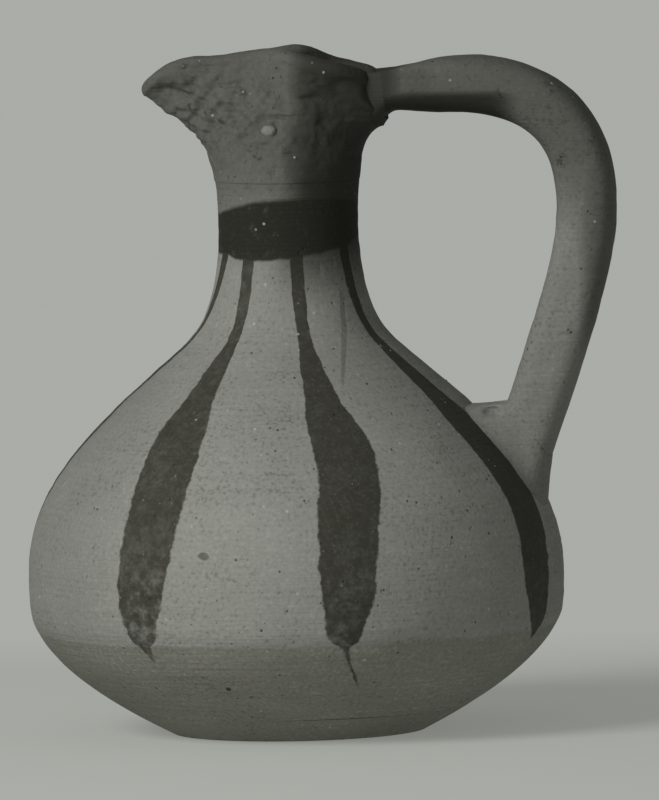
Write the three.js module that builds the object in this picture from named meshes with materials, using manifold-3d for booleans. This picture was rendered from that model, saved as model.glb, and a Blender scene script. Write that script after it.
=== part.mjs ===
/*
 * A jug of fired clay, put together the way a potter does it: a base disc, a lower
 * bowl, a domed upper body, a neck and a pinched mouth, each luted into the one below
 * by a spigot, and a thick loop handle that is bedded on the rim and pegged through
 * the shoulder.
 *
 * Millimetres, +Z up. The origin is the centre of the flat underside, the handle
 * stands on +X and the spout points to -X.
 */
import * as THREE from 'three';
import { mergeVertices } from 'three/addons/utils/BufferGeometryUtils.js';
import Module from 'manifold-3d';

const wasm = await Module();
wasm.setup();

// Clay and slip

const WALL = 5; // thickness of the thrown walls
const LIP_THICKNESS = 5.4; // thickness of the rolled lip
const BEAK_THINNING = 0.4; // share of the wall that the beak's keel is thinned by
const SLIP_GAP = 0.3; // the film of slip in every luted joint

// The thrown body, from the foot up: each height is counted from the one before it,
// each lean is the change of radius for each millimetre of height

const FOOT_RADIUS = 36.5;
const FOOT_LEAN = 2.0;
const BOWL_HEIGHT = 31; // foot to keel
const KEEL_RADIUS = 75.7;
const KEEL_LEAN = 0.5;
const KEEL_ROUNDING = 3; // height of the soft corner above the keel
const KEEL_TOP_RADIUS = 76.9;
const KEEL_TOP_LEAN = 0.2;
const BELLY_RISE = 11; // soft corner to the widest ring
const BELLY_RADIUS = 77.7;
const ROUND_RISE = 23; // widest ring to the round of the shoulder
const ROUND_RADIUS = 72.6;
const ROUND_LEAN = -0.48;
const SLOPE_RISE = 24; // round of the shoulder to the straight slope
const SLOPE_RADIUS = 54.1;
const SLOPE_LEAN = -1.04;
const SLOPE_LENGTH = 20; // height of the straight slope
const SLOPE_TOP_RADIUS = 31.7;
const THROAT_RISE = 12; // straight slope to the throat of the neck
const THROAT_RADIUS = 23.6;
const THROAT_LEAN = -0.35;
const WAIST_RISE = 24; // throat to the narrowest ring
const WAIST_RADIUS = 20.3;
const COLLAR_RISE = 12; // narrowest ring to the joint of the mouth
const COLLAR_RADIUS = 21;
const COLLAR_LEAN = 0.16;

// Joints between the rings: the upper piece has a spigot inside the lower one

const BASE_JOINT_HEIGHT = 7;
const BASE_THICKNESS = 6.5; // floor of the jug
const FLOOR_FILLET = 3;
const NECK_JOINT_RISE = 4; // above the top of the straight slope
const SPIGOT_DEPTH = 3;

// The pinched mouth

const MOUTH_RISE = 38.5; // joint to the highest point of the lip
const SPOUT_REACH = 41.6; // axis to the middle of the lip at the beak
const LOBE_REACH = 27.2; // axis to the middle of the lip under the handle
const LOBE_HALF_WIDTH = 18.2;
const PINCH_HALF_WIDTH = 7.2;
const BEAK_DROP = 10.6; // highest lip to the lip of the beak
const BACK_DROP = 11; // highest lip to the lip under the handle
const SPRING_LENGTH = 12; // pull of the neck's direction on the mouth wall
const FLARE_LENGTH = 12; // pull of the lip's direction on the mouth wall

// The handle, along the middle of its thickness

const ROOT_OVERHANG = 1.2; // start of the strap, inward from the back lip
const ROOT_DROP = 12.8; // highest lip to the middle of the root
const CROWN_REACH = 48; // axis to the highest point of the arch
const CROWN_DROP = 11.3;
const CROWN_PULL = 26;
const ELBOW_REACH = 87.1; // axis to the outermost point of the arch
const ELBOW_DROP = 46.5;
const ELBOW_PULL_UP = 23;
const ELBOW_PULL_DOWN = 18;
const TENON_HEIGHT = 78.5; // where the middle of the handle meets the shoulder
const TENON_LEAN = 19; // degrees that the handle leans in at its foot
const TENON_PULL = 32;
const STRAP_HALF_THICKNESS = 8.5;
const STRAP_HALF_WIDTH = 9.7;
const ROOT_HALF_THICKNESS = 6.4;
const ROOT_HALF_WIDTH = 13;
const TROUGH_DEPTH = 3; // hollow along the top of the strap at its root
const TROUGH_LENGTH = 20;
const STRAP_BURY = 14; // how far the uncut strap runs on into the shoulder

// The tenon through the shoulder and the clay round it

const TENON_RADIUS = 5.5;
const TENON_ROOT = 7; // length of the tenon inside the strap
const CLINCH_RADIUS = 10.5;
const CLINCH_HEIGHT = 4.5; // how far the clinch stands into the jug
const WAD_SPREAD = 6.5; // how far the clay spreads from the strap on the shoulder
const WAD_EDGE = 0.9; // thickness of the clay where it ends on the strap
const WAD_LENGTH = 17; // how far up the strap the clay reaches
const LEDGE_HEIGHT = 94; // flat top of the clay under the handle
const LEDGE_HALF_WIDTH = 8.2;
const LEDGE_INSET = 4; // how deep the ledge runs under the strap
const LEDGE_DEPTH = 22;

// The clay inside the back of the mouth

const PAD_FRONT = 13.5; // axis to the front edge of the pad
const PAD_DROP = 11.6; // highest lip to the top of the pad
const PAD_HEIGHT = 16;
const PAD_HALF_WIDTH = 15;
const PAD_SLOPE = 5; // how far the front face runs back towards its foot

// The stone in the wall

const STONE_BEARING = -94; // degrees from the handle, on the right-hand side
const STONE_PLACE = 0.42; // share of the way up the mouth wall
const STONE_HALF_LENGTH = 2.2;
const STONE_HALF_HEIGHT = 1.6;
const STONE_HALF_DEPTH = 1.5;

// Fineness of the mesh

const AROUND = 48;
const MOUTH_ROWS = 7;
const LIP_ROWS = 4;
const NORMAL_SPAN = 5; // degrees on each side that a normal of the mouth is taken over
const STRAP_SIDES = 16;
const STRAP_STEPS = 8; // for each of the three stretches of the handle

// Heights worked out from the rises

const KEEL_HEIGHT = BOWL_HEIGHT;
const KEEL_TOP_HEIGHT = KEEL_HEIGHT + KEEL_ROUNDING;
const BELLY_HEIGHT = KEEL_TOP_HEIGHT + BELLY_RISE;
const ROUND_HEIGHT = BELLY_HEIGHT + ROUND_RISE;
const SLOPE_HEIGHT = ROUND_HEIGHT + SLOPE_RISE;
const SLOPE_TOP_HEIGHT = SLOPE_HEIGHT + SLOPE_LENGTH;
const THROAT_HEIGHT = SLOPE_TOP_HEIGHT + THROAT_RISE;
const WAIST_HEIGHT = THROAT_HEIGHT + WAIST_RISE;
const COLLAR_HEIGHT = WAIST_HEIGHT + COLLAR_RISE;
const LIP_HEIGHT = COLLAR_HEIGHT + MOUTH_RISE;
const NECK_JOINT_HEIGHT = SLOPE_TOP_HEIGHT + NECK_JOINT_RISE;
const SLOPE_TOP_LEAN = (SLOPE_TOP_RADIUS - SLOPE_RADIUS) / SLOPE_LENGTH;

const STATIONS = [
  { height: 0, radius: FOOT_RADIUS, lean: FOOT_LEAN },
  { height: KEEL_HEIGHT, radius: KEEL_RADIUS, lean: KEEL_LEAN },
  { height: KEEL_TOP_HEIGHT, radius: KEEL_TOP_RADIUS, lean: KEEL_TOP_LEAN },
  { height: BELLY_HEIGHT, radius: BELLY_RADIUS, lean: 0 },
  { height: ROUND_HEIGHT, radius: ROUND_RADIUS, lean: ROUND_LEAN },
  { height: SLOPE_HEIGHT, radius: SLOPE_RADIUS, lean: SLOPE_LEAN },
  { height: SLOPE_TOP_HEIGHT, radius: SLOPE_TOP_RADIUS, lean: SLOPE_TOP_LEAN },
  { height: THROAT_HEIGHT, radius: THROAT_RADIUS, lean: THROAT_LEAN },
  { height: WAIST_HEIGHT, radius: WAIST_RADIUS, lean: 0 },
  { height: COLLAR_HEIGHT, radius: COLLAR_RADIUS, lean: COLLAR_LEAN },
];

/** Value and slope of the cubic through two stations with given slopes. */
function cubic(from, to, place, value, slope) {
  const span = to[place] - from[place];
  return (at) => {
    const t = (at - from[place]) / span;
    const rise = to[value] - from[value];
    const a = from[slope] * span;
    const b = to[slope] * span;
    const bend = a + b - 2 * rise;
    const sway = 3 * rise - 2 * a - b;
    return {
      value: from[value] + t * (a + t * (sway + t * bend)),
      slope: (a + t * (2 * sway + 3 * t * bend)) / span,
    };
  };
}

/** Outer radius of the body at a height, and its lean there. */
function bodyAt(height) {
  const last = STATIONS.length - 2;
  let index = STATIONS.findIndex((station) => station.height > height) - 1;
  if (index < 0) index = height < STATIONS[0].height ? 0 : last;
  return cubic(STATIONS[index], STATIONS[index + 1], 'height', 'radius', 'lean')(height);
}

/** A point of the wall in (radius, height), this deep under the outer surface. */
function wallPoint(height, depth) {
  const { value, slope } = bodyAt(height);
  const long = Math.hypot(1, slope);
  return new THREE.Vector2(value - depth / long, height + (depth * slope) / long);
}

/** Points of the wall at one depth, between two heights, evenly spaced. */
function wallLine(low, high, depth, steps) {
  return Array.from({ length: steps + 1 }, (_, k) =>
    wallPoint(THREE.MathUtils.lerp(low, high, k / steps), depth),
  );
}

/** The height that lies one slip gap below a joint, measured along the wall. */
function belowJoint(height) {
  return height - SLIP_GAP / Math.hypot(1, bodyAt(height).slope);
}

/** Socket of the lower piece at a joint, from the outer surface to the inner one. */
function socket(height) {
  const top = belowJoint(height);
  const floor = belowJoint(height - SPIGOT_DEPTH);
  const face = WALL / 2 - SLIP_GAP / 2;
  return [wallPoint(top, 0), wallPoint(top, face), wallPoint(floor, face), wallPoint(floor, WALL)];
}

/** Spigot of the upper piece at a joint, from the inner surface to the outer one. */
function spigot(height) {
  const tip = height - SPIGOT_DEPTH;
  const face = WALL / 2 + SLIP_GAP / 2;
  return [wallPoint(tip, WALL), wallPoint(tip, face), wallPoint(height, face), wallPoint(height, 0)];
}

/** Turns a closed (radius, height) profile round the Z axis. */
function turned(profile) {
  const geometry = new THREE.LatheGeometry([...profile, profile[0]], AROUND);
  return geometry.rotateX(Math.PI / 2);
}

/** A manifold solid of a closed geometry. */
function solid(geometry) {
  const bare = geometry.clone();
  bare.deleteAttribute('normal');
  bare.deleteAttribute('uv');
  const merged = mergeVertices(bare, 1e-4);
  const body = new wasm.Manifold(
    new wasm.Mesh({
      numProp: 3,
      vertProperties: new Float32Array(merged.attributes.position.array),
      triVerts: new Uint32Array(merged.index.array),
    }),
  );
  return body;
}

/** The geometry of a manifold solid. */
function shape(body) {
  const mesh = body.getMesh();
  const geometry = new THREE.BufferGeometry();
  geometry.setAttribute('position', new THREE.BufferAttribute(mesh.vertProperties, 3));
  geometry.setIndex(new THREE.BufferAttribute(mesh.triVerts, 1));
  geometry.computeVertexNormals();
  return geometry;
}

/**
 * Skin over rows of points. Every row is a closed loop. The rows themselves close on
 * each other when ring is true, and otherwise the first and last get a fan.
 */
function skin(rows, ring) {
  const count = rows[0].length;
  const points = rows.flat();
  const faces = [];
  const last = ring ? rows.length : rows.length - 1;
  for (let i = 0; i < last; i += 1) {
    for (let j = 0; j < count; j += 1) {
      const a = i * count + j;
      const b = i * count + ((j + 1) % count);
      const c = ((i + 1) % rows.length) * count + ((j + 1) % count);
      const d = ((i + 1) % rows.length) * count + j;
      faces.push(a, b, c, a, c, d);
    }
  }
  if (!ring) {
    [0, rows.length - 1].forEach((row, end) => {
      const hub = points.length;
      points.push(middle(rows[row]));
      for (let j = 0; j < count; j += 1) {
        const a = row * count + j;
        const b = row * count + ((j + 1) % count);
        faces.push(...(end ? [a, b, hub] : [b, a, hub]));
      }
    });
  }
  const geometry = new THREE.BufferGeometry().setFromPoints(points);
  geometry.setIndex(faces);
  geometry.computeVertexNormals();
  return geometry;
}

/** Mean of a row of points. */
function middle(row) {
  const sum = row.reduce((total, point) => total.add(point), new THREE.Vector3());
  return sum.divideScalar(row.length);
}

/** The body as a filled solid, this deep under its outer surface. */
function filledBody(depth) {
  const low = BASE_JOINT_HEIGHT;
  const line = wallLine(low, THROAT_HEIGHT, depth, 26);
  const foot = new THREE.Vector2(0, line[0].y);
  const head = new THREE.Vector2(0, line.at(-1).y);
  return solid(turned([foot, ...line, head]));
}

// The mouth

/** Half of the lip, from the handle round to the beak: bearing on the neck, place. */
function lipStations(side) {
  const near = side < 0;
  const rows = [
    [0, LOBE_REACH, 0, BACK_DROP, 45],
    [18, LOBE_REACH - 2, 10.6, near ? 7.3 : 7.6, 42],
    [38, LOBE_REACH - 8.4, LOBE_HALF_WIDTH - 1.4, near ? 4.8 : 6.1, 36],
    [58, LOBE_REACH - 16.4, LOBE_HALF_WIDTH, near ? 2.6 : 4.0, 28],
    [72, 5.2, LOBE_HALF_WIDTH - 2.8, near ? 1.1 : 1.2, 16],
    [84, 1.2, (LOBE_HALF_WIDTH + PINCH_HALF_WIDTH) / 2 - 1.1, 0.2, 6],
    [96, -3.4, PINCH_HALF_WIDTH + 1.4, near ? 0 : 0.7, -2],
    [110, -10, PINCH_HALF_WIDTH, near ? 0.7 : 1.6, -6],
    [126, -18.2, PINCH_HALF_WIDTH, near ? 2 : 2.5, -2],
    [143, 15 - SPOUT_REACH, PINCH_HALF_WIDTH + 0.2, near ? 2.4 : 3.3, 12],
    [158, 8 - SPOUT_REACH, PINCH_HALF_WIDTH - 0.8, near ? 4.5 : 5.2, 34],
    [170, 2.8 - SPOUT_REACH, PINCH_HALF_WIDTH - 3.2, near ? 8 : 8.2, 50],
    [180, -SPOUT_REACH, 0, BEAK_DROP, 58],
  ];
  return rows.map(([bearing, x, y, drop, lean]) => ({
    bearing: bearing * side,
    x,
    y: y * side,
    z: LIP_HEIGHT - drop,
    lean,
  }));
}

const LIP = [...lipStations(-1).slice(1).reverse(), ...lipStations(1)];

/** A bearing in degrees, brought between -180 and 180. */
function lipBearing(bearing) {
  return THREE.MathUtils.euclideanModulo(bearing + 180, 360) - 180;
}

/** A value of the lip at a bearing in degrees, on a smooth curve through the stations. */
function lipValue(bearing, key) {
  const turn = lipBearing(bearing);
  const count = LIP.length - 1;
  const index = Math.max(1, LIP.findIndex((station) => station.bearing >= turn)) - 1;
  const at = (k) => {
    const lap = Math.floor(k / count);
    const station = LIP[k - lap * count];
    return { bearing: station.bearing + 360 * lap, value: station[key] };
  };
  const [before, from, to, after] = [index - 1, index, index + 1, index + 2].map(at);
  from.slope = (to.value - before.value) / (to.bearing - before.bearing);
  to.slope = (after.value - from.value) / (after.bearing - from.bearing);
  return cubic(from, to, 'bearing', 'value', 'slope')(turn).value;
}

/** The middle of the lip at a bearing. */
function lipPoint(bearing) {
  return new THREE.Vector3(...['x', 'y', 'z'].map((key) => lipValue(bearing, key)));
}

/** Outer surface of the mouth at a bearing, from the joint (0) to the lip (1). */
function mouthCurve(bearing) {
  const turn = THREE.MathUtils.degToRad(bearing);
  const outward = new THREE.Vector3(Math.cos(turn), Math.sin(turn), 0);
  const along = lipPoint(bearing + 1).sub(lipPoint(bearing - 1)).normalize();
  const beak = THREE.MathUtils.smoothstep(Math.abs(lipBearing(bearing)), 120, 160);
  const side = new THREE.Vector3(along.y, -along.x, 0).normalize();
  side.lerp(new THREE.Vector3(-1, 0, 0), beak).normalize();
  const lean = THREE.MathUtils.degToRad(lipValue(bearing, 'lean'));
  const up = side.clone().multiplyScalar(Math.sin(lean));
  up.z = Math.cos(lean);
  const out = along.clone().cross(up).normalize();
  const half = LIP_THICKNESS / 2;
  const start = outward.clone().multiplyScalar(COLLAR_RADIUS).setZ(COLLAR_HEIGHT);
  const spring = outward.clone().multiplyScalar(COLLAR_LEAN).setZ(1).normalize();
  const end = lipPoint(bearing).addScaledVector(up, -half).addScaledVector(out, half);
  return new THREE.CubicBezierCurve3(
    start,
    start.clone().addScaledVector(spring, SPRING_LENGTH),
    end.clone().addScaledVector(up, -FLARE_LENGTH),
    end,
  );
}

/** Thickness of the mouth wall, which is thinned along the keel of the beak. */
function mouthThickness(bearing, rise) {
  const full = THREE.MathUtils.lerp(WALL, LIP_THICKNESS, rise);
  const beak = THREE.MathUtils.smoothstep(Math.abs(lipBearing(bearing)), 130, 170);
  return full * (1 - BEAK_THINNING * beak * Math.sin(Math.PI * rise));
}

/** Point, outward normal and upward tangent of the mouth's outer surface. */
function mouthFrame(bearing, rise) {
  const curve = mouthCurve(bearing);
  const ahead = mouthCurve(bearing + NORMAL_SPAN).getPoint(rise);
  const behind = mouthCurve(bearing - NORMAL_SPAN).getPoint(rise);
  const up = curve.getTangent(rise);
  const out = ahead.sub(behind).cross(up).normalize();
  return { point: curve.getPoint(rise), out, up };
}

/** One closed section through the mouth wall, swollen by grow on every side. */
function mouthSection(bearing, grow) {
  const turn = THREE.MathUtils.degToRad(bearing);
  const rises = Array.from({ length: MOUTH_ROWS + 1 }, (_, k) => k / MOUTH_ROWS);
  const frames = rises.map((rise) => mouthFrame(bearing, rise));
  const outer = frames.map(({ point, out }) => point.clone().addScaledVector(out, grow));
  const inner = frames.map(({ point, out }, k) =>
    point.clone().addScaledVector(out, -mouthThickness(bearing, rises[k]) - grow),
  );
  const { point, out, up } = frames.at(-1);
  const radius = LIP_THICKNESS / 2 + grow;
  const centre = point.clone().addScaledVector(out, -LIP_THICKNESS / 2);
  const lip = Array.from({ length: LIP_ROWS - 1 }, (_, k) => {
    const angle = (Math.PI * (k + 1)) / LIP_ROWS;
    return centre
      .clone()
      .addScaledVector(out, radius * Math.cos(angle))
      .addScaledVector(up, radius * Math.sin(angle));
  });
  const foot = spigot(COLLAR_HEIGHT)
    .slice(0, 3)
    .map(({ x, y }) => new THREE.Vector3(x * Math.cos(turn), x * Math.sin(turn), y));
  const loop = [...outer, ...lip, ...inner.reverse(), ...(grow ? [] : foot)];
  return loop.reverse();
}

/** The mouth wall as a solid, swollen by grow on every side. */
function mouthSolid(grow) {
  const rows = Array.from({ length: AROUND }, (_, k) => mouthSection((360 * k) / AROUND, grow));
  return solid(skin(rows, true));
}

/** The space inside the mouth, clear of its wall by a gap. */
function mouthSpace(gap) {
  const rows = Array.from({ length: MOUTH_ROWS + 1 }, (_, k) => {
    const rise = k / MOUTH_ROWS;
    return Array.from({ length: AROUND }, (__, j) => {
      const bearing = (360 * j) / AROUND;
      const { point, out } = mouthFrame(bearing, rise);
      return point.addScaledVector(out, -mouthThickness(bearing, rise) - gap);
    });
  });
  return solid(skin(rows, false));
}

// The handle

/** The three stretches of the handle's middle line, from the rim to the shoulder. */
function handleLine() {
  const root = new THREE.Vector3(LOBE_REACH - ROOT_OVERHANG, 0, LIP_HEIGHT - ROOT_DROP);
  const crown = new THREE.Vector3(CROWN_REACH, 0, LIP_HEIGHT - CROWN_DROP);
  const elbow = new THREE.Vector3(ELBOW_REACH, 0, LIP_HEIGHT - ELBOW_DROP);
  const foot = new THREE.Vector3(bodyAt(TENON_HEIGHT).value, 0, TENON_HEIGHT);
  const lean = THREE.MathUtils.degToRad(TENON_LEAN);
  const rising = new THREE.Vector3(Math.sin(lean), 0, Math.cos(lean));
  const third = (crown.x - root.x) / 3;
  return [
    new THREE.CubicBezierCurve3(
      root,
      new THREE.Vector3(root.x + third, 0, root.z + (crown.z - root.z) / 2),
      new THREE.Vector3(crown.x - third, 0, crown.z),
      crown,
    ),
    new THREE.CubicBezierCurve3(
      crown,
      new THREE.Vector3(crown.x + CROWN_PULL, 0, crown.z),
      new THREE.Vector3(elbow.x, 0, elbow.z + ELBOW_PULL_UP),
      elbow,
    ),
    new THREE.CubicBezierCurve3(
      elbow,
      new THREE.Vector3(elbow.x, 0, elbow.z - ELBOW_PULL_DOWN),
      foot.clone().addScaledVector(rising, TENON_PULL),
      foot,
    ),
    new THREE.LineCurve3(foot, foot.clone().addScaledVector(rising, -STRAP_BURY)),
  ];
}

/** Middle, along, outward and distance of each station down the handle. */
function handleStations() {
  const stations = [];
  let travelled = 0;
  handleLine().forEach((curve, stretch, all) => {
    const steps = stretch === all.length - 1 ? 2 : STRAP_STEPS;
    for (let k = stretch ? 1 : 0; k <= steps; k += 1) {
      const point = curve.getPoint(k / steps);
      const along = curve.getTangent(k / steps);
      if (stations.length) travelled += point.distanceTo(stations.at(-1).point);
      const out = new THREE.Vector3(-along.z, 0, along.x);
      stations.push({ point, along, out, travelled });
    }
  });
  return stations;
}

/** One cross-section of the strap: a rounded rectangle, hollowed on top by trough. */
function strapSection({ point, out }, halfThickness, halfWidth, trough) {
  return Array.from({ length: STRAP_SIDES }, (_, k) => {
    const angle = (2 * Math.PI * (k + 0.5)) / STRAP_SIDES;
    const round = (value) => Math.sign(value) * Math.abs(value) ** 0.62;
    const across = halfWidth * round(Math.cos(angle));
    let through = halfThickness * round(Math.sin(angle));
    if (through > 0) through -= trough * (1 - (across / halfWidth) ** 2);
    return point.clone().addScaledVector(out, through).setY(across);
  });
}

/** The whole strap, swollen by grow(distance from the end) on every side. */
function strapSolid(grow, from = 0) {
  const stations = handleStations();
  const length = stations.at(-1).travelled;
  const rows = stations.slice(from).map((station) => {
    const swell = grow(length - STRAP_BURY - station.travelled);
    const fade = THREE.MathUtils.smoothstep(station.travelled, 0, CROWN_REACH - LOBE_REACH);
    const hollow = 1 - THREE.MathUtils.smoothstep(station.travelled, 0, TROUGH_LENGTH);
    return strapSection(
      station,
      THREE.MathUtils.lerp(ROOT_HALF_THICKNESS, STRAP_HALF_THICKNESS, fade) + swell,
      THREE.MathUtils.lerp(ROOT_HALF_WIDTH, STRAP_HALF_WIDTH, fade) + swell,
      TROUGH_DEPTH * hollow,
    );
  });
  return solid(skin(rows, false));
}

/** A round bar or ring on the tenon's axis, between two depths under the surface. */
function onTenon(profile) {
  const { slope } = bodyAt(TENON_HEIGHT);
  const surface = wallPoint(TENON_HEIGHT, 0);
  const geometry = new THREE.LatheGeometry(profile, STRAP_SIDES);
  geometry.rotateX(Math.PI);
  geometry.rotateZ(-Math.PI / 2);
  geometry.rotateY(Math.atan(slope));
  geometry.translate(surface.x, 0, surface.y);
  return solid(geometry);
}

/** Profile of a round bar from one depth to another. */
function bar(radius, from, to) {
  return [
    new THREE.Vector2(0, from),
    new THREE.Vector2(radius, from),
    new THREE.Vector2(radius, to),
    new THREE.Vector2(0, to),
  ];
}

// The pieces

function baseDisc() {
  const rim = wallLine(0, belowJoint(BASE_JOINT_HEIGHT), 0, 3);
  const corner = socket(BASE_JOINT_HEIGHT).at(-1);
  return turned([
    new THREE.Vector2(0, 0),
    ...rim,
    ...socket(BASE_JOINT_HEIGHT).slice(1),
    new THREE.Vector2(corner.x - FLOOR_FILLET, BASE_THICKNESS),
    new THREE.Vector2(0, BASE_THICKNESS),
  ]);
}

/** A ring of wall between two joints. */
function wallRing(low, high, steps) {
  const outer = wallLine(low, belowJoint(high), 0, steps);
  const inner = wallLine(belowJoint(high - SPIGOT_DEPTH), low - SPIGOT_DEPTH, WALL, steps);
  return turned([
    ...outer,
    ...socket(high).slice(1, 3),
    ...inner,
    ...spigot(low).slice(1, 3),
  ]);
}

function lowerBowl() {
  return wallRing(BASE_JOINT_HEIGHT, KEEL_HEIGHT, 6);
}

function upperBody() {
  const hole = onTenon(bar(TENON_RADIUS + SLIP_GAP, -TENON_ROOT, WALL + CLINCH_HEIGHT));
  return shape(solid(wallRing(KEEL_HEIGHT, NECK_JOINT_HEIGHT, 13)).subtract(hole));
}

function neck() {
  return wallRing(NECK_JOINT_HEIGHT, COLLAR_HEIGHT, 6);
}

function stoneSolid(grow) {
  const { point, out } = mouthFrame(STONE_BEARING, STONE_PLACE);
  const geometry = new THREE.SphereGeometry(1, 10, 7);
  geometry.scale(
    STONE_HALF_LENGTH + grow,
    STONE_HALF_DEPTH + grow,
    STONE_HALF_HEIGHT + grow,
  );
  geometry.rotateZ(Math.atan2(out.y, out.x) + Math.PI / 2);
  geometry.translate(point.x, point.y, point.z);
  return solid(geometry);
}

function spoutMouth() {
  return shape(mouthSolid(0).subtract(stoneSolid(SLIP_GAP)));
}

function handle() {
  const tenon = onTenon(bar(TENON_RADIUS, -TENON_ROOT, WALL + CLINCH_HEIGHT));
  const strap = strapSolid(() => 0)
    .subtract(mouthSolid(SLIP_GAP))
    .subtract(filledBody(-SLIP_GAP));
  return shape(strap.add(tenon));
}

function rimWad() {
  const top = LIP_HEIGHT - PAD_DROP;
  const outline = new THREE.Shape([
    new THREE.Vector2(PAD_FRONT, top),
    new THREE.Vector2(PAD_FRONT + PAD_SLOPE, top - PAD_HEIGHT),
    new THREE.Vector2(LOBE_REACH, top - PAD_HEIGHT),
    new THREE.Vector2(LOBE_REACH, top + 1),
  ]);
  const block = new THREE.ExtrudeGeometry(outline, {
    depth: 2 * PAD_HALF_WIDTH,
    bevelEnabled: false,
  });
  block.translate(0, 0, -PAD_HALF_WIDTH).rotateX(Math.PI / 2);
  return shape(
    solid(block).intersect(mouthSpace(SLIP_GAP)).subtract(strapSolid(() => SLIP_GAP)),
  );
}

function shoulderWad() {
  const skirt = strapSolid((above) => {
    const share = THREE.MathUtils.smoothstep(WAD_LENGTH - above, 0, WAD_LENGTH);
    return THREE.MathUtils.lerp(WAD_EDGE, WAD_SPREAD, share);
  }, 2 * STRAP_STEPS + 5);
  const back = bodyAt(LEDGE_HEIGHT).value;
  const ledge = new THREE.BoxGeometry(LEDGE_DEPTH, 2 * LEDGE_HALF_WIDTH, LEDGE_DEPTH);
  ledge.translate(back + LEDGE_DEPTH / 2 - LEDGE_INSET, 0, LEDGE_HEIGHT - LEDGE_DEPTH / 2);
  return shape(
    skirt
      .add(solid(ledge))
      .subtract(filledBody(-SLIP_GAP))
      .subtract(strapSolid(() => SLIP_GAP)),
  );
}

function tenonClinch() {
  const bore = TENON_RADIUS + SLIP_GAP;
  const inner = WALL + CLINCH_HEIGHT;
  const ring = [
    new THREE.Vector2(bore, WALL / 2),
    new THREE.Vector2(CLINCH_RADIUS, WALL / 2),
    new THREE.Vector2(CLINCH_RADIUS, inner - CLINCH_HEIGHT / 3),
    new THREE.Vector2(CLINCH_RADIUS - CLINCH_HEIGHT / 2, inner),
    new THREE.Vector2(bore, inner),
    new THREE.Vector2(bore, WALL / 2),
  ];
  return shape(onTenon(ring).intersect(filledBody(WALL + SLIP_GAP)));
}

const CLAY = { color: 0xa8967a, roughness: 0.9, metalness: 0 };
const DARK_CLAY = { color: 0x8d7b61, roughness: 0.95, metalness: 0 };
const BANDED_CLAY = { color: 0x6b5a45, roughness: 0.85, metalness: 0 };
const PALE_STONE = { color: 0xb9b4a6, roughness: 0.8, metalness: 0 };

const PIECES = [
  ['base_disc', baseDisc(), DARK_CLAY],
  ['lower_bowl', lowerBowl(), DARK_CLAY],
  ['upper_body', upperBody(), CLAY],
  ['neck', neck(), BANDED_CLAY],
  ['spout_mouth', spoutMouth(), CLAY],
  ['handle', handle(), CLAY],
  ['rim_wad', rimWad(), CLAY],
  ['shoulder_wad', shoulderWad(), CLAY],
  ['tenon_clinch', tenonClinch(), DARK_CLAY],
  ['grit_stone', shape(stoneSolid(0)), PALE_STONE],
];

const jug = new THREE.Group();
jug.name = 'jug';
for (const [name, geometry, finish] of PIECES) {
  const mesh = new THREE.Mesh(geometry, new THREE.MeshStandardMaterial(finish));
  mesh.name = name;
  jug.add(mesh);
}

export default jug;
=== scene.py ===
"""Dresses the clay jug: fine meshes of every lump of clay, its wash and its painted stripes."""

import logging
from dataclasses import dataclass, field
from enum import Enum

import bpy
import numpy as np
from mathutils import Matrix, Vector


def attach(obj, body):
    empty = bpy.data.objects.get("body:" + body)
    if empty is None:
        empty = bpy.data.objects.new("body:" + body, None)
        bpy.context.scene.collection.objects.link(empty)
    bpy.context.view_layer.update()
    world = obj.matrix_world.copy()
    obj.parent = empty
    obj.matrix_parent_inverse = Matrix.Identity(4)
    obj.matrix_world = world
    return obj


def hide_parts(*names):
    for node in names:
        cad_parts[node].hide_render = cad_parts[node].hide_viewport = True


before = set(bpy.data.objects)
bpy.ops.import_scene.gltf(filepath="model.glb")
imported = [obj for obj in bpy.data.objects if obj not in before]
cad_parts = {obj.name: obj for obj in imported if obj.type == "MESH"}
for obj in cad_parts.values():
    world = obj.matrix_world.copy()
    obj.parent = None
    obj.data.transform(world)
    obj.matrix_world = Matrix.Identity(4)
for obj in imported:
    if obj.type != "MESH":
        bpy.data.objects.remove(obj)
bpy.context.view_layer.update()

logging.basicConfig(level=logging.INFO, format="%(message)s")
log = logging.getLogger("jug")

MM = 0.001
Points = np.ndarray
Colour = tuple[float, float, float]

# The thrown profile: height, radius and lean of each station, in millimetres
STATIONS = np.array([
    (0.0, 36.5, 2.0), (31.0, 75.7, 0.5), (34.0, 76.9, 0.2), (45.0, 77.7, 0.0), (68.0, 72.6, -0.48),
    (92.0, 54.1, -1.04), (112.0, 31.7, -1.12), (124.0, 23.6, -0.35), (148.0, 20.3, 0.0),
    (160.0, 21.0, 0.16),
])
WALL = 5.0
LIP = 5.4
COLLAR_HEIGHT = 160.0
COLLAR_RADIUS = 21.0
COLLAR_LEAN = 0.16
RIM_HEIGHT = 198.5
JOINTS = {"base": 7.0, "keel": 31.0, "neck": 116.0}
WASH_HEIGHT = 31.0

# Weathering of the clay: scales and depths in millimetres
SWELL_SCALE, SWELL_DEPTH = 24.0, 0.22
RIPPLE_SCALE, RIPPLE_DEPTH = 7.0, 0.07
PIT_SCALE, PIT_DEPTH = 1.7, 1.1
PIT_RARITY = 0.62  # noise above this makes a pit

SHARP_EDGE = 50.0  # degrees past which an edge is shaded sharp

# Large odd numbers that scatter the values of the noise's lattice
LATTICE_KEYS = np.array([73856093, 19349663, 83492791])


class Layout(Enum):
    """How the rows of a skin close."""

    RING = "ring"
    CAPPED = "capped"


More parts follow.
